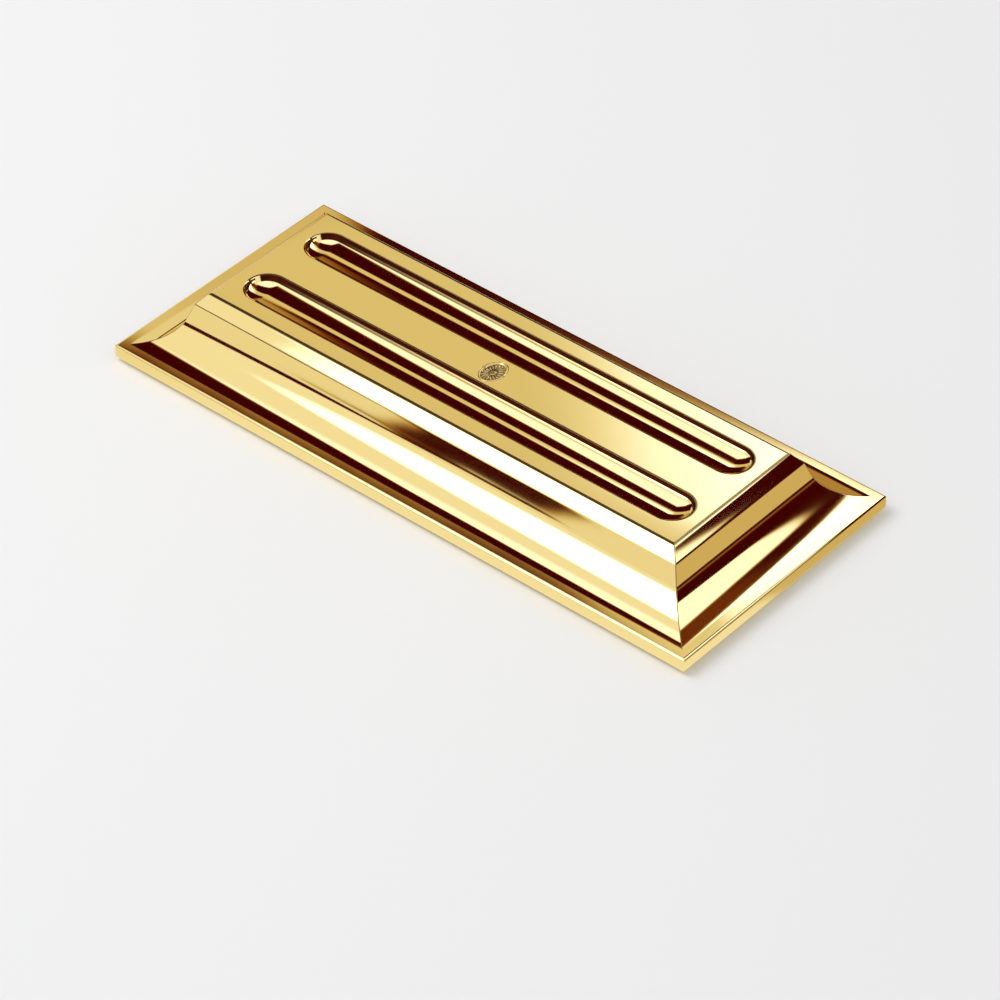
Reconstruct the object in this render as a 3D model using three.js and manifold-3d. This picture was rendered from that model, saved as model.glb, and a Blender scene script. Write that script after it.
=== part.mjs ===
import {
  BoxGeometry, BufferAttribute, BufferGeometry, CylinderGeometry, ExtrudeGeometry, Group,
  LatheGeometry, Mesh, MeshStandardMaterial, Path, Shape, Vector2,
} from 'three';
import { mergeVertices } from 'three/addons/utils/BufferGeometryUtils.js';
import Module from 'manifold-3d';

// A desk pen holder: one polished, gold-plated cast shell with two pen troughs and mitred
// mouldings, closed below by a steel plate and a rubber mat. Millimetres, X along the pens,
// Z up, origin on the desk under the middle of the holder.

// Top plate
const plateLength = 180;
const plateWidth = 53.5;

// Moulding round the plate, from the plate's edge outwards and down
const chamferRun = 3.1;
const chamferDrop = 3.8;
const facetRun = 1.95;
const facetDrop = 5.4;
const coveRadius = 13.15;
const flangeWidth = 3.3;
const lipHeight = 4.5;
const edgeRound = 0.4;
const lipRound = 0.8;

// Shell
const shellWall = 2;

// Pen troughs, sunk in the top plate: a shallow round floor that turns up into steep walls
const troughWidth = 14.4;
const troughDepth = 2.65;
const troughFloorRadius = 14.6;
const troughCornerRadius = 1.6;
const troughLipRadius = 0.7;
const troughWallDegrees = 68;
const troughEndMargin = 4.4;
const troughSideMargin = 5.85;

// Oval medallion, let into the land between the troughs
const medallionLength = 7.65;
const medallionLandMargin = 1.35;
const medallionThickness = 1.2;
const medallionBorder = 0.65;
const medallionFieldSink = 0.35;
const medallionGap = 0.3;

// Base plate and mat
const basePlateThickness = 1.5;
const basePlateGap = 0.3;
const basePlateCorner = 2;
const matThickness = 2;
const matInset = 0.5;
const glueLine = 0.125;

// Base screws and the shell's bosses for them
const screwsPerSide = 3;
const screwShankRadius = 1.5;
const screwReach = 6;
const screwPoint = 0.6;
const screwHeadRadius = 2.75;
const screwHeadHeight = 1.3;
const screwHeadRound = 0.4;
const driveSlotWidth = 0.7;
const driveSlotLength = 3.2;
const driveSlotDepth = 0.7;
const threadGap = 0.15;
const basePlateHoleGap = 0.4;
const matHoleGap = 0.65;
const bossWall = 1.85;
const bossSideOutset = 3;
const bossEndInset = 6;
const boreTipGap = 1;

// Fineness of the round stretches, in steps or in segments of a full turn
const roundSteps = 3;
const coveSteps = 12;
const troughFloorSteps = 5;
const troughCornerSteps = 5;
const troughTurnSegments = 36;
const ovalSegments = 20;
const screwSegments = 20;
const sheetCurveSegments = 8;

// Sides of the lathe that turns a moulding's section into a mitred block
const blockSides = 4;

// How far a cutting solid runs past the face that it opens
const cutPast = 1;

// Closer than this, two vertices are one, and a vertex is on the lathe's axis
const mergeDistance = 1e-5;
const axisDistance = 1e-3;

// Heights, from the desk up
const basePlateBottom = matThickness + glueLine;
const seatHeight = basePlateBottom + basePlateThickness;
const flangeTop = seatHeight + shellWall;
const lipBottom = flangeTop - lipHeight;
const coveTurn = Math.atan2(facetDrop, facetRun);
const coveRun = coveRadius * Math.sin(coveTurn);
const coveDrop = coveRadius * (1 - Math.cos(coveTurn));
const plateTop = flangeTop + coveDrop + facetDrop + chamferDrop;

// Distances out from the plate's edge
const coveFoot = chamferRun + facetRun + coveRun;
const flangeEdge = coveFoot + flangeWidth;
const recessEdge = flangeEdge - shellWall;
const basePlateEdge = recessEdge - basePlateGap;
const matEdge = basePlateEdge - matInset;

// Troughs: floorTurn is the slope where the floor's arc passes into the corner's, worked out
// so that the corner's arc also touches the wall that runs down from the lip's rounding
const troughHalfWidth = troughWidth / 2;
const wallTurn = troughWallDegrees * Math.PI / 180;
const floorCentre = plateTop - troughDepth + troughFloorRadius;
const cornerReach = troughFloorRadius - troughCornerRadius;
const lipSpare = troughLipRadius * (1 - Math.cos(wallTurn));
const cornerSpan = (troughFloorRadius - troughDepth) * Math.cos(wallTurn)
  + troughHalfWidth * Math.sin(wallTurn) - lipSpare - troughCornerRadius;
const floorTurn = wallTurn - Math.acos(cornerSpan / cornerReach);
const cornerCentreX = cornerReach * Math.sin(floorTurn);
const cornerCentreZ = floorCentre - cornerReach * Math.cos(floorTurn);
const troughStraight = plateLength - 2 * troughEndMargin - troughWidth;
const troughOffset = plateWidth / 2 - troughSideMargin - troughHalfWidth;

// Medallion and its seat
const landWidth = 2 * (troughOffset - troughHalfWidth);
const medallionWidth = landWidth - 2 * medallionLandMargin;
const medallionBottom = plateTop - medallionThickness;
const medallionSeat = medallionBottom - glueLine;

// Screws and bosses
const boreRadius = screwShankRadius + threadGap;
const bossRadius = boreRadius + bossWall;
const screwTip = seatHeight + screwReach;
const boreTop = screwTip + boreTipGap;
const bossX = plateLength / 2 - bossEndInset;
const bossY = plateWidth / 2 + bossSideOutset;

const goldPlate = new MeshStandardMaterial({ color: 0xf2cf80, metalness: 1, roughness: 0.06 });
const zincSteel = new MeshStandardMaterial({ color: 0xb4b7ba, metalness: 1, roughness: 0.4 });
const brightSteel = new MeshStandardMaterial({ color: 0xc6c8ca, metalness: 1, roughness: 0.25 });
const blackRubber = new MeshStandardMaterial({ color: 0x1b1b1c, metalness: 0, roughness: 0.9 });

const wasm = await Module();
wasm.setup();

// A closed geometry as a solid that can be joined and cut.
function solidOf(geometry) {
  const bare = geometry.index ? geometry.clone() : geometry;
  bare.deleteAttribute('normal');
  bare.deleteAttribute('uv');
  const merged = mergeVertices(bare, mergeDistance);
  return new wasm.Manifold(new wasm.Mesh({
    numProp: 3,
    vertProperties: new Float32Array(merged.attributes.position.array),
    triVerts: new Uint32Array(merged.index.array),
  }));
}

// A finished solid as a named mesh.
function meshOf(name, solid, material) {
  const { vertProperties, triVerts } = solid.getMesh();
  const geometry = new BufferGeometry();
  geometry.setAttribute('position', new BufferAttribute(new Float32Array(vertProperties), 3));
  geometry.setIndex(new BufferAttribute(new Uint32Array(triVerts), 1));
  geometry.computeVertexNormals();
  const mesh = new Mesh(geometry, material);
  mesh.name = name;
  return mesh;
}

// Points of a circular arc, from one angle to the other, both ends included.
function arcPoints(centreX, centreY, radius, startAngle, endAngle, steps) {
  const points = [];
  for (let step = 0; step <= steps; step += 1) {
    const angle = startAngle + (endAngle - startAngle) * step / steps;
    points.push(new Vector2(
      centreX + radius * Math.cos(angle),
      centreY + radius * Math.sin(angle),
    ));
  }
  return points;
}

// The rounding of one corner of a section, tangent to the corner's two sides.
function roundedCorner(before, corner, after, radius) {
  const back = before.clone().sub(corner).normalize();
  const ahead = after.clone().sub(corner).normalize();
  const halfAngle = Math.acos(back.dot(ahead)) / 2;
  const shorterSide = Math.min(before.distanceTo(corner), after.distanceTo(corner));
  const reach = Math.min(radius / Math.tan(halfAngle), shorterSide / 2);
  const centreDistance = reach / Math.cos(halfAngle);
  const middle = back.clone().add(ahead).normalize();
  const centre = corner.clone().addScaledVector(middle, centreDistance);
  const start = corner.clone().addScaledVector(back, reach).sub(centre);
  const end = corner.clone().addScaledVector(ahead, reach).sub(centre);
  const turn = Math.atan2(start.cross(end), start.dot(end));
  const first = start.angle();
  return arcPoints(centre.x, centre.y, start.length(), first, first + turn, roundSteps);
}

// A section moved inwards by a wall: each corner goes to where its two moved sides meet.
function insetSection(points, wall) {
  const inwards = (from, to) => {
    const along = to.clone().sub(from).normalize();
    return new Vector2(-along.y, along.x);
  };
  return points.map((point, index) => {
    const next = points[Math.min(index + 1, points.length - 1)];
    const last = points[Math.max(index - 1, 0)];
    const before = index > 0 ? inwards(last, point) : inwards(point, next);
    const after = index < points.length - 1 ? inwards(point, next) : before;
    const mitre = before.clone().add(after).divideScalar(1 + before.dot(after));
    return point.clone().addScaledVector(mitre, wall);
  });
}

// A mitred block: a four-sided lathe of the section gives a square block with mitred corners,
// and its two halves then move apart along X to the plate's proportions. A section point is
// the distance out from the plate's edge and the height.
function mitredBlock(section, bottom, top) {
  const profile = [
    new Vector2(0, bottom),
    ...section.map((point) => new Vector2(Math.SQRT2 * (plateWidth / 2 + point.x), point.y)),
    new Vector2(0, top),
  ];
  const geometry = new LatheGeometry(profile, blockSides, Math.PI / blockSides);
  geometry.rotateX(Math.PI / 2);
  const position = geometry.attributes.position;
  const shift = (plateLength - plateWidth) / 2;
  for (let index = 0; index < position.count; index += 1) {
    const x = position.getX(index);
    const isOnAxis = Math.hypot(x, position.getY(index)) < axisDistance;
    if (!isOnAxis) {
      position.setX(index, x + Math.sign(x) * shift);
    }
  }
  return solidOf(geometry);
}

// Moulding section between the flange and the plate, before its edges are rounded.
function mouldingSection() {
  const coveCentreHeight = flangeTop + coveRadius;
  const cove = arcPoints(
    coveFoot, coveCentreHeight, coveRadius, -Math.PI / 2, -Math.PI / 2 - coveTurn, coveSteps,
  );
  const facetHead = new Vector2(chamferRun, plateTop - chamferDrop);
  const plateEdge = new Vector2(0, plateTop);
  return { cove, facetHead, plateEdge };
}

// Outer skin of the shell, from the lip's foot up to the plate.
function outerBlock() {
  const { cove, facetHead, plateEdge } = mouldingSection();
  const lipFoot = new Vector2(flangeEdge, lipBottom);
  const lipCorner = new Vector2(flangeEdge, flangeTop);
  const plateInside = new Vector2(-plateWidth / 2, plateTop);
  const section = [
    lipFoot,
    ...roundedCorner(lipFoot, lipCorner, cove[0], lipRound),
    ...cove,
    ...roundedCorner(cove[cove.length - 1], facetHead, plateEdge, edgeRound),
    ...roundedCorner(facetHead, plateEdge, plateInside, edgeRound),
  ];
  return mitredBlock(section, lipBottom, plateTop);
}

// Hollow under the shell, one wall inside the skin, with the recess for the base below it.
function hollowBlock() {
  const { cove, facetHead, plateEdge } = mouldingSection();
  const plateInside = new Vector2(-plateWidth / 2, plateTop);
  const flangeInside = new Vector2(flangeEdge, flangeTop);
  const skin = [flangeInside, ...cove, facetHead, plateEdge, plateInside];
  const inner = insetSection(skin, shellWall).slice(1, -1);
  const recessFoot = lipBottom - cutPast;
  const section = [
    new Vector2(recessEdge, recessFoot),
    new Vector2(recessEdge, seatHeight),
    ...inner,
  ];
  return mitredBlock(section, recessFoot, plateTop - shellWall);
}

// Half of a trough's cross-section, from the middle of the floor out to its lip. Grown by a
// wall, it is the back of the trough inside the shell, which needs no rounded lip.
function troughHalfSection(grow) {
  const down = -Math.PI / 2;
  const floor = arcPoints(
    0, floorCentre, troughFloorRadius + grow, down, down + floorTurn, troughFloorSteps,
  );
  const corner = arcPoints(
    cornerCentreX, cornerCentreZ, troughCornerRadius + grow, down + floorTurn, down + wallTurn,
    troughCornerSteps,
  );
  const channel = [...floor, ...corner.slice(1)];
  if (grow > 0) {
    return channel;
  }
  const lip = arcPoints(
    troughHalfWidth, plateTop - troughLipRadius, troughLipRadius,
    Math.PI / 2 + wallTurn, Math.PI / 2, roundSteps,
  );
  return [...channel, ...lip];
}

// A trough as a solid: a straight channel with a round bowl of the same section at each end.
function troughSolid(side, grow) {
  const half = troughHalfSection(grow);
  const rimX = half[half.length - 1].x;
  const top = plateTop + cutPast;
  const outline = new Shape([
    ...half.slice(1).reverse().map((point) => new Vector2(-point.x, point.y)),
    ...half,
    new Vector2(rimX, top),
    new Vector2(-rimX, top),
  ]);
  const straight = new ExtrudeGeometry(outline, { depth: troughStraight, bevelEnabled: false });
  straight.translate(0, 0, -troughStraight / 2);
  straight.rotateX(Math.PI / 2);
  straight.rotateZ(Math.PI / 2);
  let solid = solidOf(straight);
  const bowlProfile = [...half, new Vector2(rimX, top), new Vector2(0, top)];
  for (const end of [-1, 1]) {
    const bowl = new LatheGeometry(bowlProfile, troughTurnSegments);
    bowl.rotateX(Math.PI / 2);
    bowl.translate(end * troughStraight / 2, 0, 0);
    solid = solid.add(solidOf(bowl));
  }
  return solid.translate([0, side * troughOffset, 0]);
}

// An oval disc, given by its overall length and width, between two heights.
function ovalDisc(length, width, bottom, top) {
  const outline = new Shape();
  outline.absellipse(0, 0, length / 2, width / 2, 0, 2 * Math.PI);
  const geometry = new ExtrudeGeometry(outline, {
    depth: top - bottom,
    bevelEnabled: false,
    curveSegments: ovalSegments,
  });
  geometry.translate(0, 0, bottom);
  return solidOf(geometry);
}

// An upright round bar between two heights.
function roundBar(x, y, radius, bottom, top) {
  const geometry = new CylinderGeometry(radius, radius, top - bottom, screwSegments);
  geometry.rotateX(Math.PI / 2);
  geometry.translate(x, y, (bottom + top) / 2);
  return solidOf(geometry);
}

// Screw positions: a row along each long side.
function screwPlaces() {
  const places = [];
  for (const side of [-1, 1]) {
    for (let index = 0; index < screwsPerSide; index += 1) {
      const share = screwsPerSide > 1 ? index / (screwsPerSide - 1) : 0.5;
      places.push({ x: bossX * (2 * share - 1), y: side * bossY });
    }
  }
  return places;
}

// The cast shell: skin, troughs and medallion seat, with bosses in its hollow.
function bodyShell() {
  const medallionPad = ovalDisc(
    medallionLength + 2 * shellWall, medallionWidth + 2 * shellWall,
    medallionSeat - shellWall, plateTop,
  );
  let hollow = hollowBlock().subtract(medallionPad);
  let shell = outerBlock();
  for (const side of [-1, 1]) {
    hollow = hollow.subtract(troughSolid(side, shellWall));
    shell = shell.subtract(troughSolid(side, 0));
  }
  for (const { x, y } of screwPlaces()) {
    hollow = hollow.subtract(roundBar(x, y, bossRadius, seatHeight, plateTop));
    shell = shell.subtract(roundBar(x, y, boreRadius, seatHeight - cutPast, boreTop));
  }
  const seat = ovalDisc(
    medallionLength + 2 * medallionGap, medallionWidth + 2 * medallionGap,
    medallionSeat, plateTop + cutPast,
  );
  return shell.subtract(hollow).subtract(seat);
}

// The medallion: an oval disc with a raised border round a sunk field.
function ovalMedallion() {
  const disc = ovalDisc(medallionLength, medallionWidth, medallionBottom, plateTop);
  const field = ovalDisc(
    medallionLength - 2 * medallionBorder, medallionWidth - 2 * medallionBorder,
    plateTop - medallionFieldSink, plateTop + cutPast,
  );
  return disc.subtract(field);
}

// A flat sheet with rounded corners and a row of round holes along each long side.
function drilledSheet(edge, corner, holeRadius, bottom, thickness) {
  const halfLength = plateLength / 2 + edge;
  const halfWidth = plateWidth / 2 + edge;
  const outline = new Shape();
  outline.absarc(halfLength - corner, halfWidth - corner, corner, 0, Math.PI / 2);
  outline.absarc(corner - halfLength, halfWidth - corner, corner, Math.PI / 2, Math.PI);
  outline.absarc(corner - halfLength, corner - halfWidth, corner, Math.PI, 1.5 * Math.PI);
  outline.absarc(halfLength - corner, corner - halfWidth, corner, 1.5 * Math.PI, 2 * Math.PI);
  for (const { x, y } of screwPlaces()) {
    const hole = new Path();
    hole.absarc(x, y, holeRadius, 0, 2 * Math.PI);
    outline.holes.push(hole);
  }
  const geometry = new ExtrudeGeometry(outline, {
    depth: thickness,
    bevelEnabled: false,
    curveSegments: sheetCurveSegments,
  });
  geometry.translate(0, 0, bottom);
  return solidOf(geometry);
}

// A pan-head screw, put in from below, with a crossed drive recess in its head.
function baseScrew(x, y) {
  const headBottom = basePlateBottom - screwHeadHeight;
  const profile = [
    new Vector2(0, headBottom),
    ...roundedCorner(
      new Vector2(0, headBottom),
      new Vector2(screwHeadRadius, headBottom),
      new Vector2(screwHeadRadius, basePlateBottom),
      screwHeadRound,
    ),
    new Vector2(screwHeadRadius, basePlateBottom),
    new Vector2(screwShankRadius, basePlateBottom),
    new Vector2(screwShankRadius, screwTip - screwPoint),
    new Vector2(screwShankRadius - screwPoint, screwTip),
    new Vector2(0, screwTip),
  ];
  const turned = new LatheGeometry(profile, screwSegments);
  turned.rotateX(Math.PI / 2);
  let screw = solidOf(turned);
  const slotHeight = driveSlotDepth + cutPast;
  for (const angle of [0, Math.PI / 2]) {
    const slot = new BoxGeometry(driveSlotLength, driveSlotWidth, slotHeight);
    slot.rotateZ(angle);
    slot.translate(0, 0, headBottom + driveSlotDepth - slotHeight / 2);
    screw = screw.subtract(solidOf(slot));
  }
  return screw.translate([x, y, 0]);
}

const penHolder = new Group();
penHolder.name = 'pen_holder';
penHolder.add(meshOf('body_shell', bodyShell(), goldPlate));
penHolder.add(meshOf('oval_medallion', ovalMedallion(), goldPlate));
penHolder.add(meshOf('base_plate', drilledSheet(
  basePlateEdge, basePlateCorner, screwShankRadius + basePlateHoleGap,
  basePlateBottom, basePlateThickness,
), zincSteel));
penHolder.add(meshOf('base_mat', drilledSheet(
  matEdge, basePlateCorner, screwHeadRadius + matHoleGap, 0, matThickness,
), blackRubber));
screwPlaces().forEach(({ x, y }, index) => {
  penHolder.add(meshOf(`base_screw_${index + 1}`, baseScrew(x, y), brightSteel));
});

export default penHolder;
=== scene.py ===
import math

import bmesh
import bpy
from mathutils import Euler, Matrix, Vector


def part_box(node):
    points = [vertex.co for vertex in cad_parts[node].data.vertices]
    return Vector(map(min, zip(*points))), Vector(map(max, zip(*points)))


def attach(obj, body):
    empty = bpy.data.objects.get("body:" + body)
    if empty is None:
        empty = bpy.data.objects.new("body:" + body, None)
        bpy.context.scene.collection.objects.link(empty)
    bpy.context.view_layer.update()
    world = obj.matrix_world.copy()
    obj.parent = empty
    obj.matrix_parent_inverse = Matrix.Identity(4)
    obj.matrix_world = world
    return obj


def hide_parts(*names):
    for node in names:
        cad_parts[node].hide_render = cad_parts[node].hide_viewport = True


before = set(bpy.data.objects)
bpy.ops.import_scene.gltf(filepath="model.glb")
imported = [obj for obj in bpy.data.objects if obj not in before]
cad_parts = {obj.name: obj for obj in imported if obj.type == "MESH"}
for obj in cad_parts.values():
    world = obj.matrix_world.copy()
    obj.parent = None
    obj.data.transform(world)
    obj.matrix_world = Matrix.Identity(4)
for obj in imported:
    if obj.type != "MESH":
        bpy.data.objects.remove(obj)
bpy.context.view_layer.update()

# Camera. The holder is seen from its front right, from the height of a standing person
# who looks down at a desk, through a long lens.
camera_place = Vector((0.7167, -0.8429, 0.9017))
camera_aim = Vector((0.03975, -0.04377, 0.02351))
camera_roll = math.radians(0.1)
camera_lens = 171.9

camera_data = bpy.data.cameras.new("camera")
camera_data.lens = camera_lens
camera_data.sensor_width = 36
camera_data.clip_start = 0.01
camera_data.clip_end = 50
camera = bpy.data.objects.new("camera", camera_data)
camera.location = camera_place
towards = (camera_aim - camera_place).to_track_quat("-Z", "Y")
camera.rotation_euler = (towards.to_matrix() @ Euler((0, 0, camera_roll)).to_matrix()).to_euler()
bpy.context.scene.collection.objects.link(camera)
bpy.context.scene.camera = camera


# Body shell. One brass casting, hollow below, with two pen troughs in its top and a mitred
# moulding of chamfer, facet, cove and flange round it. It is ground, polished to a mirror
# and gold-plated. Its edges are a little round. Dark lines of painted reflection lie on its
# plate's edge, below its chamfer, on its mitres and in its troughs' walls.
shell_low, shell_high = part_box("body_shell")
seat_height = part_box("base_plate")[1].z
plate_top = shell_high.z
lip_bottom = shell_low.z
shell_wall = 0.002
flange_top = seat_height + shell_wall
chamfer_run = 0.0031
chamfer_drop = 0.0038
facet_run = 0.00195
facet_drop = 0.0054
cove_radius = 0.01315
flange_width = 0.0033
plate_edge_round = 0.0016
chamfer_edge_round = 0.002
chamfer_hollow = 0.00002
facet_hollow = 0.00003
hollow_steps = 8
lip_round = 0.0008
foot_round = 0.0003
mitre_round = 0.00028
mitre_steps = 6
arc_step = 0.00025
least_steps = 8
flat_guard = 0.00004
weld_distance = 1e-7
least_edge = 1e-8

cove_turn = math.atan2(facet_drop, facet_run)
cove_tangent = cove_radius * math.tan(cove_turn / 2)
facet_lean = facet_run / facet_drop
chamfer_foot = plate_top - chamfer_drop
cove_root = chamfer_run + (chamfer_foot - flange_top) * facet_lean
flange_edge = cove_root + cove_tangent + flange_width
recess_edge = flange_edge - shell_wall
inner_root = cove_root - shell_wall * math.tan(cove_turn / 2)
half_length = shell_high.x - flange_edge
half_width = shell_high.y - flange_edge

trough_width = 0.0144
trough_depth = 0.00265
trough_floor_radius = 0.0146
trough_corner_radius = 0.0016
trough_lip_radius = 0.0007
trough_wall_turn = math.radians(68)
shoulder_turn = math.radians(10)
shoulder_radius = 0.0065
shoulder_lip_radius = 0.00015
shoulder_side = Vector((0.5, 0.866, 0))
trough_end_margin = 0.0044
trough_side_margin = 0.00585
trough_end_steps = 28
trough_floor_steps = 14

ceiling_height = plate_top - trough_depth - shell_wall
ceiling_edge = inner_root - (ceiling_height - seat_height) * facet_lean

# Where painted dark reflections lie on the shell and how dark they are: a band along the plate's edge,
# a line on the arris below the chamfer, lines on the mitres, and the upper walls of the troughs' far
# and right sides.
edge_line_inner = -0.00062
edge_line_outer = 0.0001
near_edge_dark = 0.95
other_edge_dark = 0.6
arris_line = 0.00017
arris_dark = 0.9
arris_middle_dark = 0.5
arris_fade = 0.06
mitre_line = 0.00017
mitre_dark = 0.85
wall_full_depth = 0.00007
wall_foot_depth = 0.00105
wall_foot_slant = 0.0005
wall_least_share = 0.5

medallion_low, medallion_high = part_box("oval_medallion")
medallion_gap = 0.0001
glue_line = 0.0001
seat_depth = plate_top - medallion_low.z + glue_line
seat_round = 0.00008
oval_steps = 96
quarter = math.pi / 2


def arc(centre, radius, start, end, steps):
    """Points of a circular arc in a section, both ends included."""
    turns = [start + (end - start) * step / steps for step in range(steps + 1)]
    return [centre + radius * Vector((math.cos(turn), math.sin(turn))) for turn in turns]


def rounded_corner(before, corner, after, radius):
    """The rounding of one corner of a section, with a guard point on each flat beside it."""
    back = (before - corner).normalized()
    ahead = (after - corner).normalized()
    half_angle = back.angle(ahead) / 2
    reach = radius / math.tan(half_angle)
    centre = corner + (back + ahead).normalized() * (radius / math.sin(half_angle))
    first = corner + back * reach - centre
    last = corner + ahead * reach - centre
    turn = math.atan2(first.x * last.y - first.y * last.x, first.dot(last))
    start = math.atan2(first.y, first.x)
    steps = max(least_steps, round(radius * abs(turn) / arc_step))
    return [
        corner + back * (reach + flat_guard),
        *arc(centre, radius, start, start + turn, steps),
        corner + ahead * (reach + flat_guard),
    ]


def hollow_flat(first, last, depth):
    """Points between two ends of a flat that is ground a little hollow."""
    inwards = Vector((last.y - first.y, first.x - last.x)).normalized()
    shares = [step / hollow_steps for step in range(1, hollow_steps)]
    return [first.lerp(last, share) + inwards * (4 * depth * share * (1 - share)) for share in shares]


def rounded_path(corners):
    """A section through corners of (out, height, radius, hollow of the flat after the corner)."""
    places = [Vector(corner[:2]) for corner in corners]
    path = []
    depth = 0
    for index, (_, _, radius, hollow) in enumerate(corners):
        points = [places[index]]
        if radius:
            points = rounded_corner(places[index - 1], places[index], places[index + 1], radius)
        if depth:
            path += hollow_flat(path[-1], points[0], depth)
        path += points
        depth = hollow
    return path


def outline(mesh, half_x, half_y, corner, steps, height, middle_y=0.0):
    """A rectangle with round corners as a loop of edges. Where two corners meet at the middle
    of a side, the two points that they share become one. A longer side gets a guard point
    beside each of its corners."""
    known = {*mesh.verts, *mesh.edges, *mesh.faces}
    signs = ((1, 1), (-1, 1), (-1, -1), (1, -1))
    corners = [mesh.verts.new((x * half_x, middle_y + y * half_y, height)) for x, y in signs]
    mesh.faces.new(corners)
    made = bmesh.ops.bevel(
        mesh, geom=corners, offset=corner, offset_type="OFFSET", segments=steps, profile=0.5,
        affect="VERTICES", material=-1, clamp_overlap=False,
    )
    bmesh.ops.remove_doubles(mesh, verts=made["verts"], dist=weld_distance)
    middle = Vector((0, middle_y, height))
    for axis, half in ((Vector((1, 0, 0)), half_x), (Vector((0, 1, 0)), half_y)):
        straight = half - corner - flat_guard
        places = (straight, -straight) if straight > flat_guard else ()
        for place in places:
            fresh = [item for item in (*mesh.verts, *mesh.edges, *mesh.faces) if item not in known]
            bmesh.ops.bisect_plane(
                mesh, geom=fresh, dist=least_edge, plane_co=middle + axis * place, plane_no=axis
            )
    rim = [edge for edge in mesh.edges if edge not in known and len(edge.link_faces) == 1]
    inner = [edge for edge in mesh.edges if edge not in known and len(edge.link_faces) == 2]
    bmesh.ops.dissolve_edges(mesh, edges=inner, use_verts=False)
    faces = {face for edge in rim for face in edge.link_faces}
    bmesh.ops.delete(mesh, geom=list(faces), context="FACES_ONLY")
    return rim


def oval(mesh, half_x, half_y, steps, place):
    """An oval as a loop of edges."""
    turned = Matrix.Translation(place) @ Matrix.Diagonal((half_x, half_y, 1, 1))
    made = bmesh.ops.create_circle(mesh, segments=steps, radius=1, matrix=turned)
    return list({edge for vert in made["verts"] for edge in vert.link_edges})


def verts_of(edges):
    """The vertices of some edges, each once."""
    return list({vert for edge in edges for vert in edge.verts})


def extrude_rim(mesh, rim):
    """Extrudes a loop of edges in place and gives the new loop."""
    made = bmesh.ops.extrude_edge_only(mesh, edges=rim)["geom"]
    fresh = {item for item in made if isinstance(item, bmesh.types.BMVert)}
    return [
        edge for edge in {edge for vert in fresh for edge in vert.link_edges}
        if edge.verts[0] in fresh and edge.verts[1] in fresh
    ]


def sweep_out(mesh, rim, path):
    """Carries a rectangular rim along a section of (out, height) points, mitred at its corners."""
    for last, point in zip(path, path[1:]):
        rim = extrude_rim(mesh, rim)
        out, rise = point - last
        for side_x in (-1, 1):
            for side_y in (-1, 1):
                corner = [
                    vert for vert in verts_of(rim)
                    if vert.co.x * side_x > 0 and vert.co.y * side_y > 0
                ]
                bmesh.ops.translate(mesh, vec=(side_x * out, side_y * out, rise), verts=corner)
    return rim


def sweep_in(mesh, rim, path, centres):
    """Carries a rim along a section of (radius, height) points, drawn in to its end centres."""
    for last, point in zip(path, path[1:]):
        rim = extrude_rim(mesh, rim)
        share = max(point.x, 0) / last.x
        verts = verts_of(rim)
        for centre in centres:
            near = [
                vert for vert in verts
                if len(centres) == 1 or vert.co.x * centre.x > 0
            ]
            bmesh.ops.scale(
                mesh, vec=(share, share, 1), space=Matrix.Translation(-centre), verts=near
            )
        bmesh.ops.translate(mesh, vec=(0, 0, point.y - last.y), verts=verts)
    return rim


def sweep_oval(mesh, rim, path):
    """Carries an oval rim along a section of (inset, height) points."""
    for last, point in zip(path, path[1:]):
        rim = extrude_rim(mesh, rim)
        verts = verts_of(rim)
        half_x = max(vert.co.x for vert in verts)
        half_y = max(vert.co.y for vert in verts)
        inset = point.x - last.x
        bmesh.ops.scale(
            mesh, vec=((half_x - inset) / half_x, (half_y - inset) / half_y, 1), verts=verts
        )
        bmesh.ops.translate(mesh, vec=(0, 0, point.y - last.y), verts=verts)
    return rim


def flat_fill(mesh, rims, up):
    """A flat face between loops of edges."""
    edges = [edge for rim in rims for edge in rim]
    bmesh.ops.triangle_fill(mesh, edges=edges, use_beauty=True, normal=(0, 0, up))


def trough_section(shoulder, lip):
    """A trough's section from the flat of the plate down to the middle of its floor. The lip
    turns by the shoulder's radius first and then by its own, down to the wall."""
    down = -math.pi / 2
    lip_reach = trough_lip_radius * math.sin(trough_wall_turn)
    lip_drop = trough_lip_radius * (1 - math.cos(trough_wall_turn))
    reach = trough_floor_radius - trough_corner_radius
    span = (
        (trough_floor_radius - trough_depth) * math.cos(trough_wall_turn)
        + trough_width / 2 * math.sin(trough_wall_turn)
        - lip_drop - trough_corner_radius
    )
    floor_turn = trough_wall_turn - math.acos(span / reach)
    floor_centre = Vector((0, plate_top - trough_depth + trough_floor_radius))
    corner_centre = floor_centre + reach * Vector((math.sin(floor_turn), -math.cos(floor_turn)))
    shoulder_drop = shoulder * (1 - math.cos(shoulder_turn))
    drop = shoulder_drop + lip * (math.cos(shoulder_turn) - math.cos(trough_wall_turn))
    wall_out = trough_width / 2 - lip_reach + (lip_drop - drop) / math.tan(trough_wall_turn)
    lip_centre = Vector((
        wall_out + lip * math.sin(trough_wall_turn),
        plate_top - drop - lip * math.cos(trough_wall_turn),
    ))
    shoulder_centre = lip_centre + (shoulder - lip) * Vector((
        math.sin(shoulder_turn), -math.cos(shoulder_turn)
    ))
    return [
        shoulder_centre + Vector((flat_guard, shoulder)),
        *arc(shoulder_centre, shoulder, -down, -down + shoulder_turn, least_steps),
        *arc(
            lip_centre, lip, -down + shoulder_turn, -down + trough_wall_turn, least_steps,
        )[1:],
        *arc(
            corner_centre, trough_corner_radius, down + trough_wall_turn, down + floor_turn,
            least_steps,
        ),
        *arc(
            floor_centre, trough_floor_radius, down + floor_turn, down, trough_floor_steps,
        )[1:],
    ]


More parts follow.
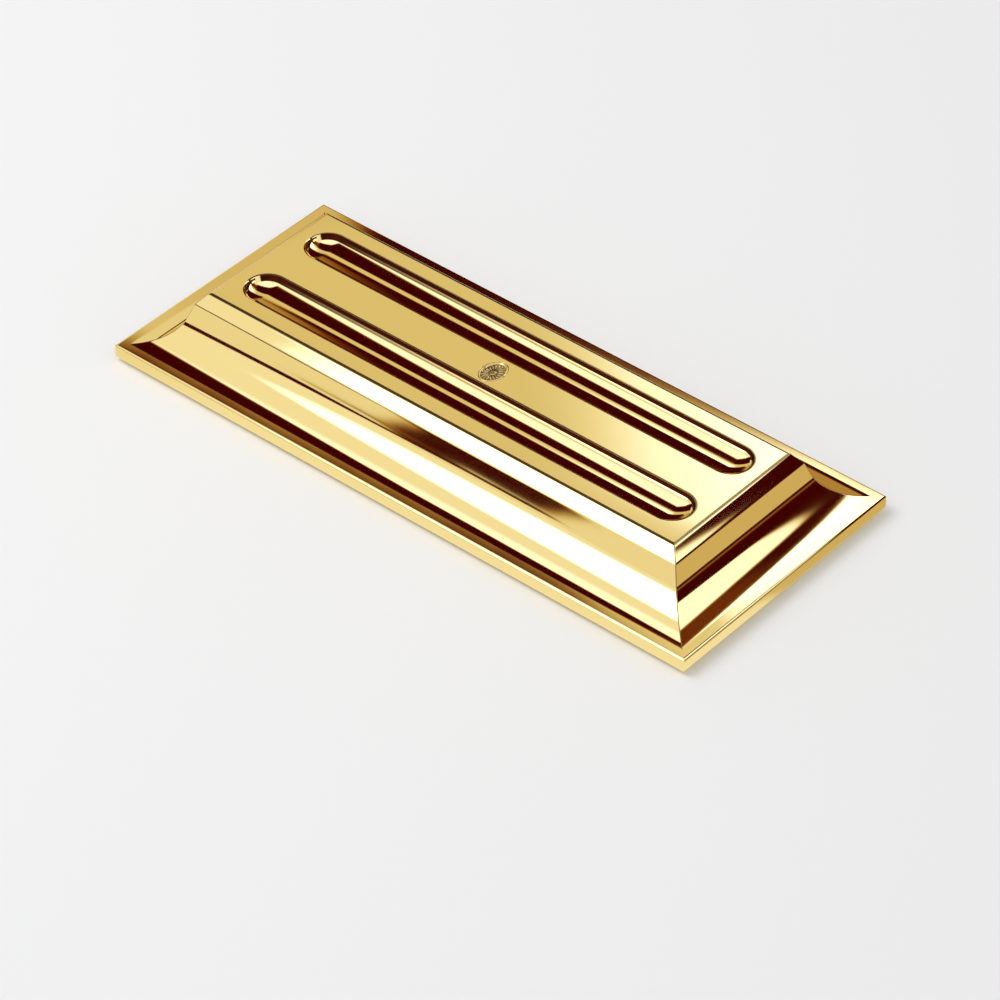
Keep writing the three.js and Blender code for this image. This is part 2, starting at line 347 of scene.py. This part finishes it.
def finished_piece(name, mesh, node, material):
    """Closes a mesh, turns its faces outwards and makes it the piece that stands for a node."""
    bmesh.ops.remove_doubles(mesh, verts=mesh.verts[:], dist=weld_distance)
    bmesh.ops.dissolve_degenerate(mesh, edges=mesh.edges[:], dist=least_edge)
    bmesh.ops.recalc_face_normals(mesh, faces=mesh.faces[:])
    data = bpy.data.meshes.new(name)
    mesh.to_mesh(data)
    mesh.free()
    data.shade_smooth()
    data.materials.append(material)
    piece = bpy.data.objects.new(name, data)
    bpy.context.scene.collection.objects.link(piece)
    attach(piece, "root")
    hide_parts(node)
    return piece


class Wire:
    """A node's output, so that an expression on wires adds its Math nodes."""

    def __init__(self, tree, socket=None):
        self.tree = tree
        self.socket = socket

    def node(self, kind, inputs=None, output=0, stops=None, **settings):
        """Adds any node: its settings are set first, then its stops, then its inputs."""
        made = self.tree.nodes.new("ShaderNode" + kind)
        for name, value in settings.items():
            setattr(made, name, value)
        if stops:
            ramp = made.color_ramp.elements
            while len(ramp) < len(stops):
                ramp.new(1)
            for element, (position, shade) in zip(ramp, stops):
                element.position = position
                element.color = shade
        for name, value in (inputs or {}).items():
            if isinstance(value, Wire):
                self.tree.links.new(value.socket, made.inputs[name])
            else:
                made.inputs[name].default_value = value
        return Wire(self.tree, made.outputs[output] if made.outputs else None)

    def maths(self, operation, first, second):
        """One Math node on two values."""
        return self.node("Math", {0: first, 1: second}, operation=operation)

    def __add__(self, other):
        return self.maths("ADD", self, other)

    def __mul__(self, other):
        return self.maths("MULTIPLY", self, other)

    def __rsub__(self, other):
        return self.maths("SUBTRACT", other, self)

    __radd__ = __add__
    __rmul__ = __mul__


def new_material(name):
    """An empty material and the wire that its nodes start from."""
    material = bpy.data.materials.new(name)
    material.use_nodes = True
    material.node_tree.nodes.clear()
    return material, Wire(material.node_tree)


def gold_plating(name, painted_dark_colour):
    """Mirror-polished gold: a faint haze and a hardly seen waviness from the polishing wheel.
    An attribute mixes in a dark colour and more roughness: painted dark reflections and shade,
    where the light tent alone leaves the gold too bright."""
    material, wire = new_material(name)
    place = wire.node("TexCoord", output="Object")
    broad = wire.node("TexNoise", {"Vector": place, "Scale": 28.0, "Detail": 2.0})
    haze = wire.node("TexNoise", {"Vector": place, "Scale": 260.0, "Detail": 5.0})
    colour = wire.node(
        "Mix",
        {0: broad, 6: (1.0, 0.74, 0.285, 1), 7: (1.0, 0.76, 0.315, 1)},
        output=2, data_type="RGBA",
    )
    # Painted dark reflections and shade: this attribute mixes in the dark colour and more roughness.
    painted_dark = wire.node("Attribute", output="Fac", attribute_name="painted_dark")
    lined = wire.node(
        "Mix", {0: painted_dark, 6: colour, 7: painted_dark_colour}, output=2, data_type="RGBA",
    )
    roughness = 0.035 + broad * 0.02 + haze * 0.015 + painted_dark * 0.45
    bump = wire.node("Bump", {"Height": broad, "Strength": 0.02, "Distance": 0.002})
    shader = wire.node("BsdfPrincipled", {
        "Base Color": lined, "Metallic": 1.0, "Specular Tint": (1.0, 0.96, 0.86, 1),
        "Roughness": roughness, "Normal": bump,
    })
    wire.node("OutputMaterial", {"Surface": shader})
    return material


def painted_dark_at(place):
    """How much painted dark reflection lies on a place of the moulding: along the plate's edge but
    for its left side, along the arris below the chamfer and on the mitres."""
    out_x = abs(place.x) - half_length
    out_y = abs(place.y) - half_width
    out = max(out_x, out_y)
    down = plate_top - place.z
    if down > plate_top - flange_top:
        return 0.0
    if min(out_x, out_y) > 0 and abs(out_x - out_y) < mitre_line:
        return mitre_dark
    if edge_line_inner < out < edge_line_outer and down < chamfer_drop / 2:
        if out_x > out_y:
            return other_edge_dark if place.x > 0 else 0.0
        return near_edge_dark if place.y < 0 else other_edge_dark
    from_arris = (Vector((out, -down)) - Vector((chamfer_run, -chamfer_drop))).length
    if from_arris < arris_line and out_y > out_x:
        return min(max(arris_middle_dark - place.x / arris_fade, 0.0), arris_dark)
    return 0.0


# The dark red-brown mixed in is the colour of the painted dark reflections.
gold = gold_plating("gold_plating", (0.045, 0.006, 0.002, 1))

shell = bmesh.new()
shell_painted_dark = shell.verts.layers.float.new("painted_dark")
skin_corners = [
    (-half_width / 2, plate_top, 0, 0),
    (0, plate_top, plate_edge_round, chamfer_hollow),
    (chamfer_run, chamfer_foot, chamfer_edge_round, facet_hollow),
    (cove_root, flange_top, cove_radius, 0),
    (flange_edge, flange_top, lip_round, 0),
    (flange_edge, lip_bottom, foot_round, 0),
    (recess_edge, lip_bottom, foot_round, 0),
    (recess_edge, seat_height, 0, 0),
    (inner_root, seat_height, cove_radius + shell_wall, 0),
    (ceiling_edge, ceiling_height, 0, 0),
]
skin = rounded_path(skin_corners)[1:]
plate_rim = outline(
    shell, half_length + skin[0].x, half_width + skin[0].x, mitre_round, mitre_steps, plate_top
)
ceiling_rim = sweep_out(shell, plate_rim, skin)
flat_fill(shell, [ceiling_rim], -1)

trough_half = trough_width / 2
trough_reach = half_length - trough_end_margin - trough_half
trough_offset = half_width - trough_side_margin - trough_half
section = trough_section(trough_lip_radius, trough_lip_radius)
shouldered = trough_section(shoulder_radius, shoulder_lip_radius)
trough_rims = []
for side in (-1, 1):
    rims = [outline(
        shell, trough_reach + section[0].x, section[0].x, section[0].x, trough_end_steps,
        plate_top, side * trough_offset,
    )]
    ends = [Vector((end * trough_reach, side * trough_offset, 0)) for end in (-1, 1)]
    for last, point in zip(section, section[1:]):
        rims.append(sweep_in(shell, rims[-1], [last, point], ends))
    for rim, point, shouldered_point in zip(rims, section, shouldered):
        spread = shouldered_point - point
        for vert in verts_of(rim):
            out = vert.co - ends[vert.co.x > 0]
            out.z = 0
            out.normalize()
            share = (1 + out.dot(shoulder_side)) / 2
            vert.co += share * (out * spread.x + Vector((0, 0, spread.y)))
            # Painted dark reflection on the walls of each trough's far and right sides, from the plate
            # down to near the wall's foot, reaching deeper towards the left.
            down = plate_top - vert.co.z
            wall_foot = wall_foot_depth + wall_foot_slant * max(-vert.co.x / half_length, 0)
            if down < wall_foot and share > wall_least_share:
                vert[shell_painted_dark] = min(max(down / wall_full_depth, 0), 1)
    trough_rims.append(rims[0])

seat_spread = medallion_gap + seat_round + flat_guard
seat_rim = oval(
    shell, medallion_high.x + seat_spread, medallion_high.y + seat_spread, oval_steps,
    Vector((0, 0, plate_top)),
)
seat_edge = Vector((flat_guard, plate_top - seat_round))
seat_path = [
    Vector((0, plate_top)),
    *arc(seat_edge, seat_round, quarter, 0, least_steps),
    Vector((flat_guard + seat_round, plate_top - seat_depth)),
]
seat_floor = sweep_oval(shell, seat_rim, seat_path)
flat_fill(shell, [seat_floor], 1)
flat_fill(shell, [plate_rim, *trough_rims, seat_rim], 1)
# Painted dark reflections along the plate's edge, the arris and the mitres.
for vert in shell.verts:
    vert[shell_painted_dark] = max(vert[shell_painted_dark], painted_dark_at(vert.co))
finished_piece("shell_casting", shell, "body_shell", gold)


# Oval medallion. A small brass disc, struck and plated like the shell, glued into its seat
# in the land between the troughs. A plain border runs round a sunk field of radial flutes.
# Painted shade darkens its field, most in the flutes' valleys.
border_width = 0.00055
field_sink = 0.0003
medallion_round = 0.00012
flute_count = 18
flute_steps = 8
flute_height = 0.00026
flute_rings = 6
boss_share = 0.3
boss_height = 0.00024
boss_steps = 6
# Painted shade in the field: its strength in the flutes' valleys, how much less on their ridges, and
# its strength on the boss.
valley_dark = 0.9
ridge_less_dark = 0.7
boss_dark = 0.5

disc = bmesh.new()
disc_painted_dark = disc.verts.layers.float.new("painted_dark")
disc_steps = flute_count * flute_steps
disc_rim = oval(
    disc, medallion_high.x, medallion_high.y, disc_steps, Vector((0, 0, medallion_low.z))
)
flat_fill(disc, [disc_rim], -1)
round_centre = Vector((medallion_round, plate_top - medallion_round))
inner_round = Vector((border_width - medallion_round, plate_top - medallion_round))
disc_path = [
    Vector((0, medallion_low.z)),
    *arc(round_centre, medallion_round, 2 * quarter, quarter, least_steps),
    Vector((medallion_round + flat_guard, plate_top)),
    Vector((border_width - medallion_round - flat_guard, plate_top)),
    *arc(inner_round, medallion_round, quarter, 0, least_steps),
    Vector((border_width, plate_top - field_sink)),
]
field_rim = sweep_oval(disc, disc_rim, disc_path)
for ring in range(1, flute_rings + 1):
    share = 1 - (1 - boss_share) * ring / flute_rings
    last_share = 1 - (1 - boss_share) * (ring - 1) / flute_rings
    field_rim = extrude_rim(disc, field_rim)
    ring_verts = verts_of(field_rim)
    bmesh.ops.scale(disc, vec=(share / last_share,) * 2 + (1,), verts=ring_verts)
    swell = math.sin(math.pi * ring / flute_rings)
    for vert in ring_verts:
        turn = math.atan2(vert.co.y / medallion_high.y, vert.co.x / medallion_high.x)
        ridge = abs(math.cos(flute_count * turn / 2))
        vert.co.z = plate_top - field_sink + flute_height * swell * ridge
        # Painted shade: darkest in the valleys between flutes, lighter on their ridges.
        vert[disc_painted_dark] = valley_dark - ridge_less_dark * ridge * swell
for step in range(1, boss_steps + 1):
    turn = quarter * step / boss_steps
    field_rim = extrude_rim(disc, field_rim)
    ring_verts = verts_of(field_rim)
    last_turn = quarter * (step - 1) / boss_steps
    share = max(math.cos(turn), 0) / math.cos(last_turn)
    bmesh.ops.scale(disc, vec=(share, share, 1), verts=ring_verts)
    rise = boss_height * (math.sin(turn) - math.sin(last_turn))
    bmesh.ops.translate(disc, vec=(0, 0, rise), verts=ring_verts)
    for vert in ring_verts:
        # The boss is painted half dark as well.
        vert[disc_painted_dark] = boss_dark
# The dark brown mixed in is the colour of the painted shade.
painted_shade_gold = gold_plating("painted_shade_gold", (0.12, 0.045, 0.006, 1))
finished_piece("medallion_disc", disc, "oval_medallion", painted_shade_gold)


# Base plate. Zinc-plated sheet steel, punched with six screw holes, that closes the shell's
# underside and gives the holder its weight.
def zinc_plating():
    """Zinc plating on steel: large dull spangles and the grain of the rolled sheet."""
    material, wire = new_material("zinc_plating")
    place = wire.node("TexCoord", output="Object")
    spangle = wire.node("TexVoronoi", {"Vector": place, "Scale": 160.0}, output="Color")
    stretch = wire.node("Mapping", {"Vector": place, "Scale": (20.0, 900.0, 900.0)})
    grain = wire.node("TexNoise", {"Vector": stretch, "Scale": 1.0, "Detail": 3.0})
    shade = wire.node(
        "Mix", {0: grain, 6: (0.56, 0.58, 0.6, 1), 7: (0.7, 0.72, 0.73, 1)},
        output=2, data_type="RGBA",
    )
    level = wire.node("RGBToBW", {"Color": spangle})
    roughness = 0.32 + level * 0.14
    bump = wire.node("Bump", {"Height": grain, "Strength": 0.15, "Distance": 0.0001})
    shader = wire.node("BsdfPrincipled", {
        "Base Color": shade, "Metallic": 1.0, "Roughness": roughness, "Normal": bump,
    })
    wire.node("OutputMaterial", {"Surface": shader})
    return material


base_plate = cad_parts["base_plate"].data
base_plate.materials.clear()
base_plate.materials.append(zinc_plating())


# Base mat. Black nitrile rubber sheet, cut to the plate and glued under it, with a round hole
# for each screw head. It stands below the shell's lip, so only rubber touches the desk.
mat_low, mat_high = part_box("base_mat")
mat_corner = 0.002
mat_edge_round = 0.0003
mat_corner_steps = 10
mat_hole_steps = 48
screw_nodes = sorted(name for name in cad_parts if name.startswith("base_screw_"))
screw_boxes = [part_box(name) for name in screw_nodes]
head_radius = (screw_boxes[0][1].x - screw_boxes[0][0].x) / 2
mat_hole_gap = 0.00065
mat_hole_radius = head_radius + mat_hole_gap


def black_rubber():
    """Matt black rubber: a fine pebble from the press and a faint bloom on it."""
    material, wire = new_material("black_rubber")
    place = wire.node("TexCoord", output="Object")
    pebble = wire.node("TexVoronoi", {"Vector": place, "Scale": 1500.0}, output="Distance")
    bloom = wire.node("TexNoise", {"Vector": place, "Scale": 45.0, "Detail": 4.0})
    shade = wire.node(
        "Mix", {0: bloom, 6: (0.012, 0.012, 0.0125, 1), 7: (0.026, 0.026, 0.027, 1)},
        output=2, data_type="RGBA",
    )
    roughness = 0.72 + bloom * 0.16
    bump = wire.node("Bump", {"Height": pebble, "Strength": 0.35, "Distance": 0.0002})
    shader = wire.node("BsdfPrincipled", {
        "Base Color": shade, "Roughness": roughness, "Normal": bump,
    })
    wire.node("OutputMaterial", {"Surface": shader})
    return material


def sheet_edge(low, high):
    """A sheet's edge from its underside to its top, both edges eased, as (out, height) points."""
    corners = [
        (-mat_corner, low, 0, 0), (0, low, mat_edge_round, 0), (0, high, mat_edge_round, 0),
        (-mat_corner, high, 0, 0),
    ]
    return rounded_path(corners)[1:-1]


mat = bmesh.new()
edge_path = sheet_edge(mat_low.z, mat_high.z)
mat_foot = outline(
    mat, mat_high.x + edge_path[0].x, mat_high.y + edge_path[0].x, mat_corner + edge_path[0].x,
    mat_corner_steps, mat_low.z,
)
mat_crown = sweep_out(mat, mat_foot, edge_path)
foot_holes = []
crown_holes = []
for low, high in screw_boxes:
    place = Vector(((low.x + high.x) / 2, (low.y + high.y) / 2, mat_low.z))
    hole_path = [Vector((mat_hole_radius - point.x, point.y)) for point in edge_path]
    rim = oval(mat, hole_path[0].x, hole_path[0].x, mat_hole_steps, place)
    foot_holes.append(rim)
    crown_holes.append(sweep_in(mat, rim, hole_path, [place]))
flat_fill(mat, [mat_foot, *foot_holes], -1)
flat_fill(mat, [mat_crown, *crown_holes], 1)
finished_piece("mat_sheet", mat, "base_mat", black_rubber())


# Base screws. Six bright nickel-plated M3 pan-head screws with a crossed recess, driven up
# through the base plate into the shell's bosses.
screw_head_height = 0.0013
screw_head_round = 0.0004
screw_shank_radius = 0.0015
screw_point = 0.0006
screw_steps = 48
recess_arm = 0.0016
recess_half = 0.00035
recess_depth = 0.0007


def bright_nickel():
    """Bright nickel plating over a turned head, with the turning marks left in it."""
    material, wire = new_material("bright_nickel")
    place = wire.node("TexCoord", output="Object")
    wear = wire.node("TexNoise", {"Vector": place, "Scale": 700.0, "Detail": 4.0})
    shade = wire.node(
        "Mix", {0: wear, 6: (0.7, 0.7, 0.69, 1), 7: (0.8, 0.8, 0.79, 1)},
        output=2, data_type="RGBA",
    )
    roughness = 0.16 + wear * 0.16
    bump = wire.node("Bump", {"Height": wear, "Strength": 0.08, "Distance": 0.0001})
    shader = wire.node("BsdfPrincipled", {
        "Base Color": shade, "Metallic": 1.0, "Roughness": roughness, "Normal": bump,
    })
    wire.node("OutputMaterial", {"Surface": shader})
    return material


nickel = bright_nickel()
for number, (name, (low, high)) in enumerate(zip(screw_nodes, screw_boxes), 1):
    screw = bmesh.new()
    place = Vector(((low.x + high.x) / 2, (low.y + high.y) / 2, low.z))
    head_top = low.z + screw_head_height
    core = [
        screw.verts.new(place + Vector((x * recess_half, y * recess_half, 0)))
        for x, y in ((1, 1), (-1, 1), (-1, -1), (1, -1))
    ]
    middle = screw.faces.new(core)
    for edge in list(middle.edges):
        outwards = (edge.verts[0].co + edge.verts[1].co) / 2 - place
        arm = bmesh.ops.extrude_edge_only(screw, edges=[edge])["geom"]
        arm_verts = [item for item in arm if isinstance(item, bmesh.types.BMVert)]
        reach = outwards.normalized() * (recess_arm - recess_half)
        bmesh.ops.translate(screw, vec=reach, verts=arm_verts)
    cross = screw.faces[:]
    raised = bmesh.ops.extrude_face_region(screw, geom=cross)["geom"]
    raised_verts = [item for item in raised if isinstance(item, bmesh.types.BMVert)]
    bmesh.ops.translate(screw, vec=(0, 0, recess_depth), verts=raised_verts)
    mouth = [
        edge for edge in screw.edges
        if len(edge.link_faces) == 1
        and all(abs(vert.co.z - low.z) < weld_distance for vert in edge.verts)
    ]
    profile = rounded_path([
        (head_radius / 2, low.z, 0, 0),
        (head_radius, low.z, screw_head_round, 0),
        (head_radius, head_top, 0, 0),
        (screw_shank_radius, head_top, 0, 0),
        (screw_shank_radius, high.z - screw_point, 0, 0),
        (screw_shank_radius - screw_point, high.z, 0, 0),
    ])[1:]
    rim = oval(screw, profile[0].x, profile[0].x, screw_steps, place)
    tip = sweep_in(screw, rim, profile, [place])
    flat_fill(screw, [tip], 1)
    flat_fill(screw, [rim, mouth], -1)
    finished_piece(f"turned_screw_{number}", screw, name, nickel)


# Floor. Plain pale paper, rolled out flat. It is cut away under the mat and clear from below,
# so that the holder's underside can be looked at.
floor_half = 3.0
floor_drop = 0.0001
floor_cut_margin = 0.0006
floor_corner_steps = 4

floor_mesh = bmesh.new()
floor_edge = outline(
    floor_mesh, floor_half, floor_half, floor_half / 2, floor_corner_steps, -floor_drop
)
floor_cut = outline(
    floor_mesh, mat_high.x - floor_cut_margin, mat_high.y - floor_cut_margin, mat_corner,
    floor_corner_steps, -floor_drop,
)
flat_fill(floor_mesh, [floor_edge, floor_cut], 1)
floor_data = bpy.data.meshes.new("floor")
floor_mesh.to_mesh(floor_data)
floor_mesh.free()
floor = bpy.data.objects.new("floor", floor_data)
bpy.context.scene.collection.objects.link(floor)


def floor_paper():
    """Matt white paper, seen from above only."""
    material, wire = new_material("floor_paper")
    place = wire.node("TexCoord", output="Object")
    fibre = wire.node("TexNoise", {"Vector": place, "Scale": 900.0, "Detail": 3.0})
    bump = wire.node("Bump", {"Height": fibre, "Strength": 0.05, "Distance": 0.0002})
    paper = wire.node("BsdfPrincipled", {
        "Base Color": (0.9, 0.9, 0.9, 1), "Roughness": 0.9, "Normal": bump,
    })
    clear = wire.node("BsdfTransparent")
    behind = wire.node("NewGeometry", output="Backfacing")
    shown = wire.node("MixShader", {0: behind, 1: paper, 2: clear})
    wire.node("OutputMaterial", {"Surface": shown})
    return material


floor_data.materials.append(floor_paper())
floor.visible_glossy = False


# Light tent. A globe of pale cloth round the holder, which shows only in its polish. Dark flags
# and brighter cards hang on it in turn, with straight sides as seen from the holder. A corner
# is an azimuth from +Y towards +X, an elevation and how soft its next side is, in degrees.
tent_radius = 0.42
tent_segments = 96
tent_rings = 48
tent_level = 0.92
full_level = 4.0
tent_cards = [
    (1.2, [(-94, 40, 12), (-94, 85, 10), (-20, 75, 5), (-30, 50, 5)]),
    (3.2, [
        (-180, 68, 6), (-148, 60, 6), (-137, 43, 6), (-136.5, 28, 6), (-149, 13.5, 6),
        (-168, 7, 6), (-180, 5, 6),
    ]),
    (0.0, [
        (-110, -10, 4), (-97, 42, 4), (-84, 49.5, 4), (-66, 56.5, 4), (-55, 58, 4),
        (-50, -10, 4),
    ]),
    (0.0, [(-70, -10, 4), (-66, 56.5, 4), (-47, 62.5, 4), (-28, 64, 4), (-14, -10, 4)]),
    (0.0, [(-32, 61.5, 4), (30, 62, 4), (75, 50, 4), (85, -9, 4), (-20, -9, 4)]),
    (0.14, [(-30, 60, 5), (40, 56, 5), (40, 45, 5), (-30, 45, 5)]),
    (0.8, [(-84, -4, 5), (-84, 27, 5), (-66, 31, 5), (-57, 26, 5), (-57, -4, 5)]),
    (0.42, [(-17, -18, 4), (-17, 27, 6), (-7, 27, 6), (-7, -18, 4)]),
    (0.72, [
        (-66, 29.5, 3), (-59, 34.6, 3), (-45, 42.8, 3), (-31, 47.6, 3), (-16, 50.6, 3),
        (10, 48, 3), (32, 38, 3), (32, 34, 3), (-50, 28.3, 3), (-60, 24, 3),
    ]),
    (0.66, [(-60, 30, 3), (-49, 30, 3), (-48, 22, 3), (-62, 19, 3)]),
    (3.0, [(-24, 36.7, 24), (-16, 51, 3), (10, 48, 3), (32, 38, 3), (32, 34, 3)]),
    (0.76, [(-38, 43.2, 2), (-31, 47.6, 2), (-19, 49.8, 2), (-19, 46.2, 2.5)]),
    (1.25, [(33, 55, 3), (75, 50, 3), (75, 11.5, 1.2), (57.5, 16.5, 1.5), (50.5, 26, 3), (42, 36, 3)]),
    (0.25, [(45, -1.5, 3), (75, -1.5, 3), (75, -4.5, 3), (45, -4.5, 3)]),
    (0.5, [(-57, 22, 6), (-45, 22, 9), (-40, 8, 5), (-54, 7, 4)]),
    (0.62, [(45, -8.2, 0.5), (75, -8.2, 0.5), (100, -30, 0.5), (20, -30, 0.5)]),
    (0.85, [(-180, 0, 4), (-120, 0, 4), (-120, -30, 4), (-180, -30, 4)]),
    (0.0, [(-154, -6.2, 0.8), (-136, 7, 0.8), (-136, 1, 0.8), (-144, -5.4, 0.8), (-154, -6.4, 0.8)]),
    (0.0, [(-158.5, -6.2, 0.5), (-149, -6, 2), (-151, -10.5, 1), (-161, -10.5, 2)]),
]
warm_falloff = [
    (0.0, (0.045, 0.0015, 0.0005)),
    (0.15, (0.156, 0.035, 0.008)),
    (0.35, (0.352, 0.208, 0.058)),
    (0.58, (0.578, 0.47, 0.243)),
    (0.72, (0.716, 0.687, 0.5)),
    (0.88, (0.87, 0.9, 0.86)),
    (1.1, (1.1, 1.25, 1.7)),
    (2.0, (2.0, 2.2, 2.8)),
    (full_level, (full_level, full_level, full_level)),
]


def direction(azimuth, elevation):
    """The direction to a place on the tent."""
    around = math.radians(azimuth)
    up = math.radians(elevation)
    return Vector((
        math.sin(around) * math.cos(up), math.cos(around) * math.cos(up), math.sin(up)
    ))


def tent_cloth():
    """Glowing cloth: one level all over, then each card laid over it. Duller parts are browner."""
    material, wire = new_material("tent_cloth")
    place = wire.node("TexCoord", output="Object")
    centred = wire.node("VectorMath", {0: place, 1: (0, 0, plate_top)}, operation="SUBTRACT")
    towards_tent = wire.node("VectorMath", {0: centred}, operation="NORMALIZE")
    level = tent_level
    for card_level, corners in tent_cards:
        mask = 1.0
        for corner, following in zip(corners, corners[1:] + corners[:1]):
            inwards = direction(*corner[:2]).cross(direction(*following[:2])).normalized()
            inside = wire.node(
                "VectorMath", {0: towards_tent, 1: inwards}, output="Value",
                operation="DOT_PRODUCT",
            )
            half_soft = math.radians(corner[2]) / 2
            mask = mask * wire.node(
                "MapRange", {"Value": inside, 1: -half_soft, 2: half_soft},
                interpolation_type="SMOOTHSTEP",
            )
        level = level + (card_level - level) * mask
    stops = [
        (stop / full_level, [shade / full_level for shade in shades] + [1])
        for stop, shades in warm_falloff
    ]
    share = level * (1 / full_level)
    tint = wire.node("ValToRGB", {"Fac": share}, stops=stops)
    glow = wire.node("Emission", {"Color": tint, "Strength": full_level})
    wire.node("OutputMaterial", {"Surface": glow})
    material.cycles.emission_sampling = "NONE"
    return material


tent_mesh = bmesh.new()
bmesh.ops.create_uvsphere(
    tent_mesh, u_segments=tent_segments, v_segments=tent_rings, radius=tent_radius,
    matrix=Matrix.Translation((0, 0, plate_top)),
)
tent_data = bpy.data.meshes.new("light_tent")
tent_mesh.to_mesh(tent_data)
tent_mesh.free()
tent_data.materials.append(tent_cloth())
tent = bpy.data.objects.new("light_tent", tent_data)
tent.visible_camera = False
tent.visible_diffuse = False
tent.visible_shadow = False
tent.visible_transmission = False
bpy.context.scene.collection.objects.link(tent)


# Light. A plain even sky, and one large soft lamp high on the left that gives the holder its
# shadow on the floor.
sky_level = 0.66
lamp_place = Vector((-0.9, -0.5, 1.5))
lamp_size = 1.2
lamp_watts = 14.0

world = bpy.data.worlds.new("studio")
bpy.context.scene.world = world
world.use_nodes = True
world.node_tree.nodes.clear()
sky_wire = Wire(world.node_tree)
sky = sky_wire.node("Background", {"Color": (1, 1, 1, 1), "Strength": sky_level})
sky_wire.node("OutputWorld", {"Surface": sky})

lamp_data = bpy.data.lights.new("soft_lamp", "AREA")
lamp_data.size = lamp_size
lamp_data.energy = lamp_watts
lamp = bpy.data.objects.new("soft_lamp", lamp_data)
lamp.location = lamp_place
lamp.rotation_euler = (-lamp_place).to_track_quat("-Z", "Y").to_euler()
lamp.visible_glossy = False
bpy.context.scene.collection.objects.link(lamp)
bpy.context.scene.view_settings.view_transform = "Standard"
